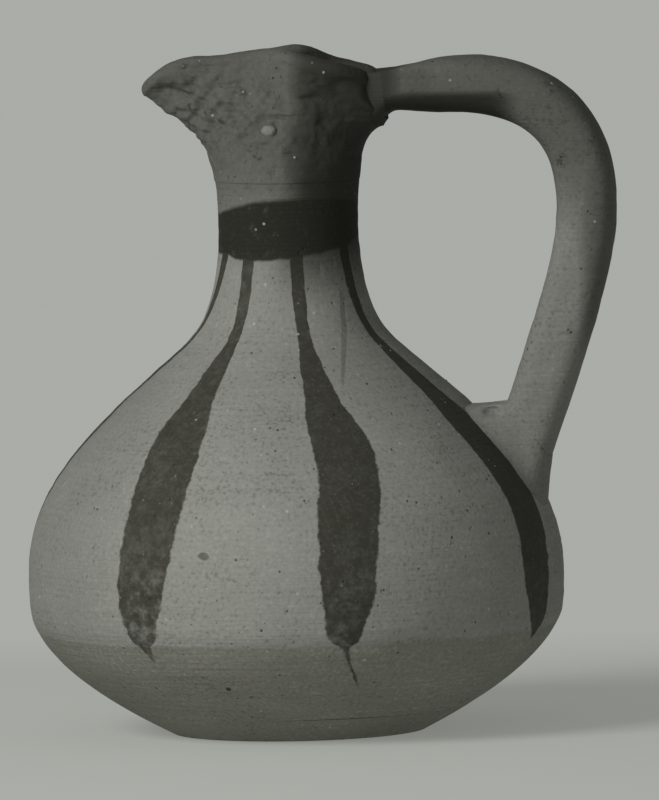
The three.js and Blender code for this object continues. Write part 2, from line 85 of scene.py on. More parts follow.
def hermite(table: Points, at: Points) -> tuple[Points, Points]:
    """Reads a smooth curve through stations.

    Args:
        table: rows of place, value and slope.
        at: places to read.

    Returns:
        The values and the slopes there.
    """
    index = np.clip(np.searchsorted(table[:, 0], at, side="right") - 1, 0, len(table) - 2)
    low, high = table[index], table[index + 1]
    span = high[..., 0] - low[..., 0]
    t = (at - low[..., 0]) / span
    rise = high[..., 1] - low[..., 1]
    a, b = low[..., 2] * span, high[..., 2] * span
    bend, sway = a + b - 2 * rise, 3 * rise - 2 * a - b
    value = low[..., 1] + t * (a + t * (sway + t * bend))
    return value, (a + t * (2 * sway + 3 * t * bend)) / span


def ease(share: Points) -> Points:
    """Smooth step of a share between 0 and 1."""
    return share * share * (3 - 2 * share)


def unit(vectors: Points) -> Points:
    """Vectors brought to length 1."""
    return vectors / np.linalg.norm(vectors, axis=-1, keepdims=True)


def rounded(wave: Points, power: float) -> Points:
    """A sine or cosine made squarer, for a section with soft corners."""
    return np.sign(wave) * np.abs(wave) ** power


def full_turn(count: int, offset: float = 0.0) -> Points:
    """Angles in radians that share a full turn evenly."""
    return 2 * np.pi * (np.arange(count) + offset) / count


def bezier(a: Points, b: Points, c: Points, d: Points, t: Points) -> Points:
    """Points of a cubic curve.

    Args:
        a: its start.
        b: its first handle.
        c: its second handle.
        d: its end.
        t: shares of the way along it.

    Returns:
        The points.
    """
    return (1 - t) ** 3 * a + 3 * t * (1 - t) ** 2 * b + 3 * t * t * (1 - t) * c + t**3 * d


def value_noise(points: Points, scale: float, seed: int) -> Points:
    """Smooth noise on a lattice, the same in each run.

    Args:
        points: places in millimetres.
        scale: distance between the lattice's points.
        seed: picks one noise of many.

    Returns:
        Values between -1 and 1.
    """
    place = points / scale + 57.3
    cell = np.floor(place).astype(np.int64)
    f = place - cell
    f = ease(f)
    total = np.zeros(points.shape[:-1])
    for corner in range(8):
        bits = np.array([corner & 1, corner >> 1 & 1, corner >> 2 & 1])
        key = (cell + bits) @ LATTICE_KEYS + seed * 2654435
        key = (key ^ (key >> 13)) * 1274126177 & 0x7FFFFFFF
        weight = np.prod(np.where(bits, f, 1 - f), axis=-1)
        total += weight * ((key ^ (key >> 16)) % 65536 / 32768.0 - 1)
    return total


def weather(points: Points, ridges: float, lumps: float) -> Points:
    """How far hand, wheel and age push the clay out, in millimetres.

    Args:
        points: places on the smooth surface.
        ridges: depth of the turning ridges.
        lumps: height of the lumps left by hand.

    Returns:
        The push along the outward normal.
    """
    rings = points * np.array([0.06, 0.06, 1.0])
    push = ridges * (value_noise(rings, 2.6, 3) + 0.6 * value_noise(rings, 1.3, 4))
    push += SWELL_DEPTH * value_noise(points, SWELL_SCALE, 5)
    push += RIPPLE_DEPTH * value_noise(points, RIPPLE_SCALE, 6)
    push += lumps * (value_noise(points, 5.0, 7) + 0.6 * value_noise(points, 2.4, 8))
    pits = np.clip(value_noise(points, PIT_SCALE, 9) - PIT_RARITY, 0, 1)
    return push - PIT_DEPTH * pits * (0.4 + lumps)


def grid_normals(rows: Points) -> Points:
    """Unit normals of a grid of points.

    Args:
        rows: closed loops of points, row after row.

    Returns:
        A normal for each point.
    """
    across = np.roll(rows, -1, axis=1) - np.roll(rows, 1, axis=1)
    along = np.gradient(rows, axis=0)
    normal = np.cross(across, along)
    return normal / np.maximum(np.linalg.norm(normal, axis=-1, keepdims=True), 1e-9)


def linked(name: str, data: bpy.types.ID) -> bpy.types.Object:
    """Makes an object of some data and links it to the scene."""
    made = bpy.data.objects.new(name, data)
    bpy.context.scene.collection.objects.link(made)
    return made


def skin(name: str, rows: Points, layout: Layout) -> bpy.types.Object:
    """Makes a smooth closed mesh over rows of points.

    Args:
        name: the piece's name.
        rows: loops of points in millimetres, row after row.
        layout: whether the rows close on each other or get caps.

    Returns:
        The linked mesh object, in metres.
    """
    count, size = rows.shape[:2]
    turns = count if layout is Layout.RING else count - 1
    i, j = np.meshgrid(np.arange(turns), np.arange(size), indexing="ij")
    near, far = i * size, (i + 1) % count * size
    quads = np.stack([near + j, near + (j + 1) % size, far + (j + 1) % size, far + j], axis=-1)
    faces = quads.reshape(-1, 4).tolist()
    if layout is Layout.CAPPED:
        faces.append(list(range(size))[::-1])
        faces.append(list(range((count - 1) * size, count * size)))
    mesh = bpy.data.meshes.new(name)
    mesh.from_pydata((rows.reshape(-1, 3) * MM).tolist(), [], faces)
    mesh.update()
    mesh.shade_smooth()
    mesh.set_sharp_from_angle(angle=np.radians(SHARP_EDGE))
    return linked(name, mesh)


@dataclass
class Value:
    """A number or link in a shader, on which Python's operators add Math nodes."""

    graph: "Graph"
    socket: bpy.types.NodeSocket

    def _math(self, operation: str, *others: object) -> "Value":
        """Adds a Math node that starts with this value."""
        return self.graph.node("ShaderNodeMath", {"operation": operation}, [self, *others])

    def __add__(self, other: object) -> "Value":
        """Sum."""
        return self._math("ADD", other)

    def __sub__(self, other: object) -> "Value":
        """Difference."""
        return self._math("SUBTRACT", other)

    def __mul__(self, other: object) -> "Value":
        """Product."""
        return self._math("MULTIPLY", other)

    def __truediv__(self, other: object) -> "Value":
        """Quotient."""
        return self._math("DIVIDE", other)

    def __rsub__(self, other: float) -> "Value":
        """Difference from a number."""
        return self.graph.node("ShaderNodeMath", {"operation": "SUBTRACT"}, [other, self])

    __radd__ = __add__
    __rmul__ = __mul__

    def size(self) -> "Value":
        """Absolute value."""
        return self._math("ABSOLUTE")

    def most(self, other: object) -> "Value":
        """The larger of two values."""
        return self._math("MAXIMUM", other)

    def step(self, low: float, high: float) -> "Value":
        """Smooth step of this value.

        Args:
            low: where it is 0.
            high: where it is 1, which may lie under low.

        Returns:
            A value from 0 to 1.
        """
        settings = {"interpolation_type": "SMOOTHSTEP"}
        if low <= high:
            return self.graph.node("ShaderNodeMapRange", settings, [self, low, high])
        return 1 - self.graph.node("ShaderNodeMapRange", settings, [self, high, low])


class Graph:
    """The node tree of one material."""

    def __init__(self, name: str) -> None:
        """Makes a material with its shader, named name."""
        self.material = bpy.data.materials.new(name)
        self.material.use_nodes = True
        self.tree = self.material.node_tree
        self.shader = self.tree.nodes["Principled BSDF"]

    def wire(self, value: Value, name: str) -> None:
        """Links a value to the shader's socket of that name."""
        self.tree.links.new(value.socket, self.shader.inputs[name])

    def axes(self, place: Value) -> tuple[Value, Value, Value]:
        """The X, Y and Z of a position."""
        split = self.node("ShaderNodeSeparateXYZ", {}, [place]).socket.node
        return tuple(Value(self, socket) for socket in split.outputs)

    def node(self, kind: str, settings: dict, inputs: object, output: object = 0) -> Value:
        """Adds one node.

        Args:
            kind: the node's type.
            settings: its properties, set first.
            inputs: a list in socket order, or a dict by socket name or number.
            output: the output to give back.

        Returns:
            That output.
        """
        made = self.tree.nodes.new(kind)
        for key, value in settings.items():
            setattr(made, key, value)
        pairs = inputs.items() if isinstance(inputs, dict) else enumerate(inputs)
        for key, value in pairs:
            if isinstance(value, Value):
                self.tree.links.new(value.socket, made.inputs[key])
            else:
                made.inputs[key].default_value = value
        return Value(self, made.outputs[output])

    def curve(self, at: Value, points: list[tuple[float, float]], span: float) -> Value:
        """A smooth curve of a height.

        Args:
            at: the height in millimetres.
            points: heights in millimetres, each with its value from 0 to 1.
            span: height that the curve reaches to.

        Returns:
            The value at that height.
        """
        share = at / span
        made = self.tree.nodes.new("ShaderNodeFloatCurve")
        stops = made.mapping.curves[0].points
        ordered = sorted(points)
        while len(stops) < len(ordered):
            stops.new(0.5, 0.5)
        for stop, (height, value) in zip(stops, ordered):
            stop.location = (height / span, value)
        made.mapping.update()
        self.tree.links.new(share.socket, made.inputs["Value"])
        return Value(self, made.outputs[0])

    def noise(self, at: Value, scale: float, detail: float = 3.0) -> Value:
        """Fractal noise of a position, with this many features to the metre."""
        inputs = {"Vector": at, "Scale": scale, "Detail": detail, "Roughness": 0.6}
        return self.node("ShaderNodeTexNoise", {}, inputs)

    def mix(self, share: Value, low: object, high: object) -> Value:
        """Mixes two colours.

        Args:
            share: how much of the second colour shows, from 0 to 1.
            low: the first colour, fixed or linked.
            high: the second colour, fixed or linked.

        Returns:
            The mixed colour.
        """
        made = self.tree.nodes.new("ShaderNodeMix")
        made.data_type = "RGBA"
        self.tree.links.new(share.socket, made.inputs[0])
        for key, value in ((6, low), (7, high)):
            if isinstance(value, Value):
                self.tree.links.new(value.socket, made.inputs[key])
            else:
                made.inputs[key].default_value = (*value, 1.0)
        return Value(self, made.outputs[2])


@dataclass(frozen=True)
class Stripe:
    """One painted stripe: its bearing from the front at heights down the jug, in degrees.

    wear says how worn its paint is, and drip is the height of its lower tip in millimetres.
    """

    bearings: tuple[tuple[float, float], ...]
    wear: float
    drip: float


STRIPES = (
    Stripe(((140, -55), (120, -70), (100, -82), (80, -85), (30, -86)), 0.35, 25.0),
    Stripe(((140, -27), (118, -28), (96, -27.5), (70, -26), (32, -27.6), (24, -26.5)), 0.75, 25.0),
    Stripe(((140, 13.8), (118, 15.7), (98, 19), (84, 21.9), (64, 20), (44, 18.9), (30, 18.6),
            (20, 22.2)), 0.4, 17.0),
    Stripe(((140, 59), (108, 67.5), (96, 70), (80, 72.5), (66, 73), (45, 72), (26, 74)), 0.15, 27.0),
    Stripe(((140, 113), (110, 120), (84, 123), (30, 122)), 0.3, 24.0),
    Stripe(((140, 166), (110, 170), (84, 174), (30, 172)), 0.4, 27.0),
    Stripe(((140, 214), (110, 221), (84, 225), (30, 224)), 0.3, 22.0),
)
# Half-width in degrees of every stripe at heights down the jug
STRIPE_WIDTH = ((142, 5.6), (126, 5.1), (118, 4.2), (108, 5.3), (98, 6.5), (88, 8.6), (80, 8.1),
                (64, 7.1), (52, 6.4), (44, 5.8), (36, 4.4), (31.5, 3.0), (29.5, 1.2), (24, 0.5),
                (14, 0.3))
# Edges of the band: height in millimetres, and its change to the handle and to the back
BAND_LOW = (142.5, 74.0, 220.0)
BAND_HIGH = (151.3, 86.0, -185.0)
SPAN = 200.0  # height in millimetres that the curves reach to
DEGREES = 400.0  # range of bearings that a curve's value from 0 to 1 stands for

# Stray marks on the front: X, Z, half width, half height and darkness
MARKS = (
    (-16.0, 56.9, 1.7, 1.3, 0.6), (-11.3, 17.7, 0.8, 0.7, 0.9), (18.4, 116.0, 0.75, 14.0, 0.35),
)
MARK_SLANT = 0.119


def scaled(colour: Colour, factor: float) -> Colour:
    """A colour made lighter or darker."""
    return tuple(part * factor for part in colour)


@dataclass(frozen=True)
class ClayFinish:
    """Fired clay with a thin wash above the keel and dark paint on it."""

    name: str
    painted: bool
    # How much darker the whole piece is made, evenly
    even_darkening: float = 0.0
    wash: Colour = (0.245, 0.248, 0.222)
    bare: Colour = (0.2, 0.2, 0.168)
    # Near-black for the painted shade, the darkenings and the scars
    shade_and_dark: Colour = (0.016, 0.016, 0.011)
    paint: Colour = (0.026, 0.025, 0.017)
    grit: Colour = (0.42, 0.42, 0.38)
    # Painted shade in the pits
    pit_shade: Colour = (0.02, 0.02, 0.014)
    band: Colour = (0.006, 0.006, 0.004)

    def band_mask(self, graph: Graph, place: Value, worn: Value) -> Value:
        """Where the band round the neck lies.

        Args:
            graph: the material's nodes.
            place: the position on the piece.
            worn: the noise of the wear.

        Returns:
            A value from 0 to 1.
        """
        east, north, rise = graph.axes(place)
        height = rise * 1000
        lift = (graph.noise(place, 60.0) - 0.5) * 5
        low_edge = height - (east * BAND_LOW[1] + north * BAND_LOW[2]) - lift
        high_edge = height - (east * BAND_HIGH[1] + north * BAND_HIGH[2]) - lift * 0.6
        band = low_edge.step(BAND_LOW[0] - 0.6, BAND_LOW[0] + 0.5)
        band = band * high_edge.step(BAND_HIGH[0] + 0.7, BAND_HIGH[0] - 0.9)
        return band * (1 - worn.step(0.55, 0.8) * 0.3)

    def paint_mask(self, graph: Graph, place: Value) -> Value:
        """Where the band, the stripes and the stray marks lie.

        Args:
            graph: the material's nodes.
            place: the position on the piece.

        Returns:
            A value from 0 to 1.
        """
        east, north, rise = graph.axes(place)
        height = rise * 1000
        angle = graph.node("ShaderNodeMath", {"operation": "ARCTAN2"}, [east, north * -1])
        bearing = angle * float(np.degrees(1))
        edge = (graph.noise(place, 260.0) - 0.5) * 2.2
        width = graph.curve(height, [(h, w / 10) for h, w in STRIPE_WIDTH], SPAN) * 10
        worn = graph.noise(place, 330.0, 6.0)
        wear = (worn * 0.7 + graph.noise(place, 70.0, 4.0) * 0.3).step(0.42, 0.66)
        wear = wear * (height.step(66.0, 30.0) * 0.62 + 0.16)
        below_band = height.step(146, 142)
        total = self.band_mask(graph, place, worn)
        for stripe in STRIPES:
            table = [(h, b / DEGREES + 0.5) for h, b in stripe.bearings]
            centre = (graph.curve(height, table, SPAN) - 0.5) * DEGREES
            gap = graph.node("ShaderNodeMath", {"operation": "WRAP"}, [bearing - centre, 180, -180])
            inside = (width + edge - gap.size()).step(-0.15, 0.5)
            inside = inside * height.step(stripe.drip, stripe.drip + 2) * below_band
            total = total.most(inside * (0.94 - wear * stripe.wear))
        front = north.step(0.0, -0.004)
        for x, z, wide, tall, depth in MARKS:
            part_x = (east * 1000 - x + (height - z) * MARK_SLANT) / wide
            part_z = (height - z) / tall
            spot = (part_x * part_x + part_z * part_z + (worn - 0.5) * 1.2).step(1.2, 0.5)
            total = total.most(spot * front * depth)
        return total

    def shade_and_darkening_mask(self, graph: Graph, place: Value) -> Value:
        """Where the clay is painted darker: painted shade under the top of the handle, on the handle's
        outer side and over the lit left side and the shoulder, and darker over the neck and mouth, over
        their right half and evenly by even_darkening.

        Args:
            graph: the material's nodes.
            place: the position on the piece.

        Returns:
            A value from about 0 to 1.
        """
        east, _, rise = graph.axes(place)
        across, height = east * 1000, rise * 1000
        patchy = (graph.noise(place, 38.0, 5.0) - 0.5) * 0.5
        # Darker towards the neck and mouth, and over their right half
        upper = height.step(118.0, 172.0) * 0.68
        side = (across + patchy * 16).step(-12.0, 10.0) * across.step(46.0, 30.0)
        # Painted shade under the top stretch of the handle
        under = height.step(190.0, 183.0) * across.step(24.0, 31.0) * across.step(84.0, 60.0)
        under = under * height.step(160.0, 174.0)
        # Painted shade over the left side and the shoulder, where the key lamp falls brightest
        left = across.step(-15.0, -60.0) * 0.24 + height.step(76.0, 112.0) * 0.13
        dirt = upper.most(self.even_darkening).most(left).most(side * height.step(118.0, 146.0) * 0.95)
        # Painted shade on the handle's outer side, away from the key lamp
        return dirt.most(under).most(across.step(80.0, 90.0) * 0.66) + patchy * 0.28

    def build(self) -> bpy.types.Material:
        """Makes the material.

        Returns:
            The material.
        """
        graph = Graph(self.name)
        place = graph.node("ShaderNodeTexCoord", {}, [], "Object")
        height = graph.axes(place)[2] * 1000
        squash = graph.node("ShaderNodeMapping", {}, {"Vector": place, "Scale": (12, 12, 420)})
        lines = graph.node("ShaderNodeTexNoise", {}, {"Vector": squash, "Scale": 3.0, "Detail": 3.0})
        cloud = graph.noise(place, 28.0, 4.0)
        grain = graph.noise(place, 900.0, 4.0)
        pits = graph.node("ShaderNodeTexVoronoi", {}, {"Vector": place, "Scale": 420.0})
        pits = pits.step(0.22, 0.08) * graph.noise(place, 190.0).step(0.52, 0.66)
        grits = graph.node("ShaderNodeTexVoronoi", {}, {"Vector": place, "Scale": 330.0})
        grits = grits.step(0.2, 0.08) * graph.noise(place, 120.0).step(0.56, 0.7)
        wavy = height + (graph.noise(place, 30.0) - 0.5) * 3
        tone = graph.mix(wavy.step(WASH_HEIGHT - 1.2, WASH_HEIGHT + 0.6), self.bare, self.wash)
        shade = (cloud - 0.5) * 0.55 + (grain - 0.5) * 1.1 + (lines - 0.5) * 0.28
        tone = graph.mix(shade.step(0.0, 0.35) * 0.7, tone, scaled(self.wash, 1.35))
        tone = graph.mix((shade * -1).step(0.0, 0.35) * 0.75, tone, scaled(self.bare, 0.5))
        # Painted shade and darkenings, mixed towards the near-black
        tone = graph.mix(self.shade_and_darkening_mask(graph, place), tone, self.shade_and_dark)
        if self.painted:
            dark = graph.mix(grain.step(0.5, 0.8), self.paint, scaled(self.paint, 2.4))
            dark = graph.mix(height.step(128.0, 142.0) * 0.6, dark, self.band)
            tone = graph.mix(self.paint_mask(graph, place), tone, dark)
        scar = graph.noise(place, 240.0, 5.0).step(0.6, 0.72) * height.step(150.0, 168.0)
        tone = graph.mix(scar * 0.7, tone, self.shade_and_dark)
        tone = graph.mix(grits, tone, self.grit)
        # Painted shade in the pits: near-black where they lie
        tone = graph.mix(pits * 0.85, tone, self.pit_shade)
        relief = grain * 0.5 + lines * 0.7 + cloud * 0.4 - pits * 1.2
        bump = {"Strength": 0.55, "Distance": 0.0005, "Height": relief}
        graph.wire(tone, "Base Color")
        graph.wire(0.82 + (grain - 0.5) * 0.2, "Roughness")
        graph.wire(graph.node("ShaderNodeBump", {}, bump), "Normal")
        graph.shader.inputs["Specular IOR Level"].default_value = 0.25
        return graph.material


@dataclass(frozen=True)
class StoneFinish:
    """Pale mineral grit."""

    name: str = "pale_stone"
    colour: Colour = (0.17, 0.175, 0.155)

    def build(self) -> bpy.types.Material:
        """Makes the material.

        Returns:
            The material.
        """
        graph = Graph(self.name)
        place = graph.node("ShaderNodeTexCoord", {}, [], "Object")
        grain = graph.noise(place, 1400.0, 4.0)
        bump = {"Strength": 0.5, "Distance": 0.0003, "Height": grain}
        graph.wire(graph.mix(grain, scaled(self.colour, 0.7), scaled(self.colour, 1.3)), "Base Color")
        graph.wire(graph.node("ShaderNodeBump", {}, bump), "Normal")
        graph.shader.inputs["Roughness"].default_value = 0.8
        return graph.material


def body_radius(height: Points) -> Points:
    """Outer radius of the thrown body at heights in millimetres."""
    return hermite(STATIONS, height)[0]


def wall_line(heights: Points, depth: float) -> Points:
    """A line of points along the wall.

    Args:
        heights: heights on the profile.
        depth: how far under the outer surface the line runs.

    Returns:
        Points of radius and height.
    """
    radius, lean = hermite(STATIONS, heights)
    long = np.hypot(1, lean)
    return np.stack([radius - depth / long, heights + depth * lean / long], axis=-1)


@dataclass
class ThrownBody:
    """Base disc, bowl, upper body and neck, turned from one profile, in millimetres."""

    around: int = 420
    pitch: float = 0.75
    inner_pitch: float = 3.0
    floor: float = 6.5
    hub: float = 0.4
    chamfer: float = 1.2
    ridges: float = 0.09
    sunk: float = 0.12

    def spin(self, loop: Points) -> Points:
        """Copies a line all the way round the jug's axis.

        Args:
            loop: points of radius and height.

        Returns:
            A row of points for each bearing.
        """
        angle = full_turn(self.around)
        east, north = np.outer(np.cos(angle), loop[:, 0]), np.outer(np.sin(angle), loop[:, 0])
        return np.stack([east, north, np.broadcast_to(loop[:, 1], east.shape)], axis=-1)

    def turn(self, name: str, outer: Points, inner: Points) -> bpy.types.Object:
        """Turns a ring of wall.

        Args:
            name: the piece's name.
            outer: its outer line of radius and height, from low to high.
            inner: its inner line, from low to high.

        Returns:
            The piece.
        """
        rows = self.spin(np.concatenate([outer, inner[::-1]]))
        face = rows[:, : len(outer)]
        normal = np.swapaxes(grid_normals(np.swapaxes(face, 0, 1)), 0, 1)
        normal *= np.sign((normal[..., :2] * face[..., :2]).sum(-1).mean())
        push = np.minimum(weather(face, self.ridges, 0.0) - self.sunk, 0.0)
        rows[:, : len(outer)] += normal * push[..., None]
        return skin(name, rows[::-1], Layout.RING)

    def ring(self, name: str, low: float, high: float) -> bpy.types.Object:
        """A ring of wall between two heights of the profile.

        Args:
            name: the piece's name.
            low: height of its lower end.
            high: height of its upper end.

        Returns:
            The piece.
        """
        step = (high - low) / round((high - low) / self.pitch)
        outer = wall_line(np.arange(low, high + self.pitch / 2, step), 0)
        inner = wall_line(np.linspace(low, high, max(8, int((high - low) / self.inner_pitch))), WALL)
        return self.turn(name, outer, inner)

    def disc(self) -> bpy.types.Object:
        """The disc that the jug stands on, with a chamfer round its foot.

        Returns:
            The piece.
        """
        wall = wall_line(np.linspace(0, JOINTS["base"], 12), 0)
        wall[0] = (wall[1][0] - self.chamfer, 0.0)
        under = [(radius, 0.0) for radius in np.linspace(self.hub, wall[0][0] - 1.0, 20)]
        corner = wall_line(np.array([JOINTS["base"] - 1]), WALL)[0]
        inner = np.array([(self.hub, self.floor), (corner[0] - 3, self.floor), corner])
        rows = self.spin(np.concatenate([under, wall, inner[::-1]]))
        return skin("base_disc_clay", np.swapaxes(rows, 0, 1)[::-1], Layout.CAPPED)


# The lip: bearing, x, y, drop on the near and on the far side, lean in degrees
LIP_ROWS = (
    (0, 27.2, 0, 11, 11, 45), (18, 25.2, 10.6, 7.3, 7.6, 42), (38, 18.8, 16.8, 4.8, 6.1, 36),
    (58, 10.8, 18.2, 2.6, 4.0, 28), (72, 5.2, 15.4, 1.1, 1.2, 16), (84, 1.2, 11.6, 0.2, 0.2, 6),
    (96, -3.4, 8.6, 0, 0.7, -2), (110, -10, 7.2, 0.7, 1.6, -6), (126, -18.2, 7.2, 2, 2.5, -2),
    (143, -26.6, 7.4, 2.4, 3.3, 12), (158, -33.6, 6.4, 4.5, 5.2, 34), (170, -38.8, 4, 8, 8.2, 50),
    (180, -41.6, 0, 10.6, 10.6, 58),
)

# Dents on the near side: place X and Z, half length, half height and depth in millimetres
DENTS = (
    (-30.0, 185.4, 6.5, 2.6, 2.2), (-28.6, 193.6, 1.7, 1.1, 1.0), (0.0, 179.0, 6.6, 0.55, 0.9),
    (-22.5, 182.2, 2.6, 1.5, 0.9), (-12.0, 172.4, 4.2, 1.5, 0.7), (-18.5, 176.4, 2.6, 1.4, 0.9),
    (-5.0, 171.0, 3.4, 0.9, 0.6), (9.0, 184.0, 4.5, 1.0, 0.8), (-13.5, 188.4, 3.2, 0.9, 0.7),
    (4.5, 168.5, 2.4, 0.6, 0.5), (-8.5, 182.5, 2.0, 1.1, 0.6), (13.0, 177.0, 2.2, 1.6, 0.6),
)

# The pad inside the mouth: place X and half width in millimetres
PAD_ROWS = ((13, 14.6), (16, 14.4), (19, 13.4), (22, 11), (24.5, 7.5), (26, 4))


@dataclass
class PinchedMouth:
    """The flared mouth with its beaked spout, and the pad of clay at its back.

    Lengths are in millimetres, and bearings in degrees from the handle.
    """

    around: int = 560
    rows: int = 100
    lip_rows: int = 14
    spring: float = 12.0
    flare: float = 12.0
    thinning: float = 0.4
    beak_half: float = 20.0
    beak_blend: float = 40.0
    hollow_start: float = 128.0
    hollow_blend: float = 40.0
    web: float = 6.5
    web_reach: float = 27.0
    web_foot: float = 166.5
    web_height: float = 11.0
    lumps: float = 0.34
    rough_place: tuple[float, float] = (-19.0, 179.0)
    rough_reach: tuple[float, float] = (15.0, 8.0)
    rough_depth: float = 1.15
    dent_gain: float = 1.3
    pad_top: float = 184.9
    pad_under: float = 177.0
    dents: tuple[tuple[float, float, float, float, float], ...] = DENTS
    tables: dict[str, Points] = field(default_factory=dict)

    def __post_init__(self) -> None:
        """Lays the lip's stations round the whole mouth."""
        near = [(-b, x, -y, RIM_HEIGHT - dn, lean) for b, x, y, dn, _, lean in LIP_ROWS]
        far = [(b, x, y, RIM_HEIGHT - df, lean) for b, x, y, _, df, lean in LIP_ROWS]
        lap = np.array(near[:0:-1] + far[:-1])
        turns = [lap + np.array([shift, 0, 0, 0, 0]) for shift in (-360, 0, 360)]
        ring = np.concatenate(turns)
        for column, key in enumerate(("x", "y", "z", "lean"), start=1):
            value = ring[:, column]
            slope = np.gradient(value, ring[:, 0])
            slope[1:-1] = (value[2:] - value[:-2]) / (ring[2:, 0] - ring[:-2, 0])
            self.tables[key] = np.stack([ring[:, 0], value, slope], axis=-1)

    def lip(self, bearing: Points) -> Points:
        """Middle of the lip at bearings in degrees."""
        return np.stack([hermite(self.tables[key], bearing)[0] for key in "xyz"], axis=-1)

    def surface(self, bearing: Points, rise: Points) -> tuple[Points, Points]:
        """Outer surface of the mouth.

        Args:
            bearing: bearings in degrees.
            rise: shares of the way from the collar to the lip.

        Returns:
            For bearing by rise, the points and the upward directions there.
        """
        turn = np.radians(bearing)
        outward = np.stack([np.cos(turn), np.sin(turn), np.zeros_like(turn)], axis=-1)
        along = unit(self.lip(bearing + 1) - self.lip(bearing - 1))
        side = unit(np.stack([along[:, 1], -along[:, 0], np.zeros_like(turn)], axis=-1))
        from_spout = 180 - np.abs((bearing + 180) % 360 - 180)
        beak = 1 - ease(np.clip((from_spout - self.beak_half) / self.beak_blend, 0, 1))[:, None]
        side = unit(side * (1 - beak) + np.array([-1.0, 0, 0]) * beak)
        lean = np.radians(hermite(self.tables["lean"], bearing)[0])
        up = side * np.sin(lean)[:, None]
        up[:, 2] = np.cos(lean)
        out = unit(np.cross(along, up))
        start = outward * COLLAR_RADIUS
        start[:, 2] = COLLAR_HEIGHT
        spring = outward * COLLAR_LEAN
        spring[:, 2] = 1
        end = self.lip(bearing) - up * LIP / 2 + out * LIP / 2
        knots = (start, start + unit(spring) * self.spring, end - up * self.flare, end)
        s = rise[None, :, None]
        p0, p1, p2, p3 = (knot[:, None, :] for knot in knots)
        slope = (1 - s) ** 2 * (p1 - p0) + 2 * s * (1 - s) * (p2 - p1) + s * s * (p3 - p2)
        return bezier(p0, p1, p2, p3, s), unit(slope)

    def dent(self, point: Points) -> Points:
        """How far the dents press the near side in.

        Args:
            point: places on the smooth wall.

        Returns:
            The push along the outward direction, from 0 down.
        """
        ragged = 0.5 * value_noise(point, 2.2, 15)
        push = np.zeros(point.shape[:2])
        for x, z, long, tall, depth in self.dents:
            gone = ((point[..., 0] - x) / long) ** 2 + ((point[..., 2] - z) / tall) ** 2 + ragged
            push -= depth * np.exp(-np.clip(gone, 0, 9)) * (point[..., 1] < 0)
        return self.dent_gain * push

    def relief(self, point: Points, bearing: Points, rise: Points) -> Points:
        """How far the clay stands out from the smooth wall, without the dents.

        Args:
            point: places on the smooth wall, for bearing by rise.
            bearing: their bearings.
            rise: their shares of the way to the lip.

        Returns:
            The push along the outward direction.
        """
        fade = np.clip(rise / 0.35, 0, 1)
        push = weather(point, 0.09, 0.0) * (1 - fade) + weather(point, 0.04, self.lumps) * fade
        (east, height), (wide, tall) = self.rough_place, self.rough_reach
        rough = np.exp(-(((point[..., 0] - east) / wide) ** 2) - ((point[..., 2] - height) / tall) ** 2)
        calm = 1 - np.exp(-((bearing / 30) ** 2))[:, None]
        rough = calm * (rough + 0.25 * fade) * (1 - 0.8 * np.clip((rise - 0.9) / 0.1, 0, 1))
        push += self.rough_depth * rough * (value_noise(point, 3.1, 31) + 0.7 * value_noise(point, 1.6, 32))
        web = np.exp(-((bearing / self.web_reach) ** 2))[:, None]
        web = web * np.clip((point[..., 2] - self.web_foot) / self.web_height, 0, 1) ** 1.5
        return push + self.web * web * np.clip((1 - rise) / 0.12, 0, 1)

    def wall(self) -> bpy.types.Object:
        """The mouth's wall with its rolled lip, the hollow under the beak and the lumps.

        Returns:
            The piece.
        """
        bearing = np.linspace(-180, 180, self.around, endpoint=False)
        rise = np.linspace(0, 1, self.rows)
        point, up = self.surface(bearing, rise)
        lap = self.surface(bearing + 5, rise)[0] - self.surface(bearing - 5, rise)[0]
        out = unit(np.cross(lap, up))
        beak = ease(np.clip((np.abs(bearing) - self.hollow_start) / self.hollow_blend, 0, 1))[:, None]
        thick = (WALL + (LIP - WALL) * rise) * (1 - self.thinning * beak * np.sin(np.pi * rise))
        inner = point - out * thick[..., None]
        centre = point[:, -1] - out[:, -1] * LIP / 2
        arc = np.pi * np.arange(1, self.lip_rows) / self.lip_rows
        turn = out[:, -1:, :] * np.cos(arc)[None, :, None] + up[:, -1:, :] * np.sin(arc)[None, :, None]
        lip = centre[:, None] + turn * LIP / 2
        lip = lip + turn * (weather(lip, 0.0, 0.08) * np.sin(arc))[..., None]
        outer = point + out * (self.relief(point, bearing, rise) + self.dent(point))[..., None]
        rows = np.concatenate([outer, lip, inner[:, ::-1]], axis=1)
        return skin("mouth_clay", rows[::-1], Layout.RING)

    def pad(self) -> bpy.types.Object:
        """The pad pressed over the handle's root inside the mouth, hollowed like a trough.

        Returns:
            The piece.
        """
        places, halves = zip(*PAD_ROWS)
        ahead = np.linspace(places[0], places[-1], 44)
        x, y = np.meshgrid(ahead, np.linspace(-1, 1, 40), indexing="ij")
        run, half = x - places[0], np.interp(x, places, halves)
        top = self.pad_top + 3.4 * np.abs(y) ** 2.2 + 0.12 * run
        top -= 5.0 * np.clip((15.5 - x) / 2.5, 0, 1) ** 2
        upper = np.stack([x, y * half, top], axis=-1)
        upper[..., 2] += weather(upper, 0.0, 0.15)
        lower = np.stack([x, y * half * 0.5, np.minimum(self.pad_under + 0.4 * run, top - 2)], axis=-1)
        rows = np.concatenate([upper, lower[:, ::-1]], axis=1)
        return skin("rim_wad_clay", rows[::-1], Layout.CAPPED)


# The clinch: radius and depth from the wall's inner side, in millimetres
CLINCH_PROFILE = ((10.4, 0), (10.5, 1.6), (9.6, 3.4), (7.4, 4.7), (4, 5), (0.4, 4.9))


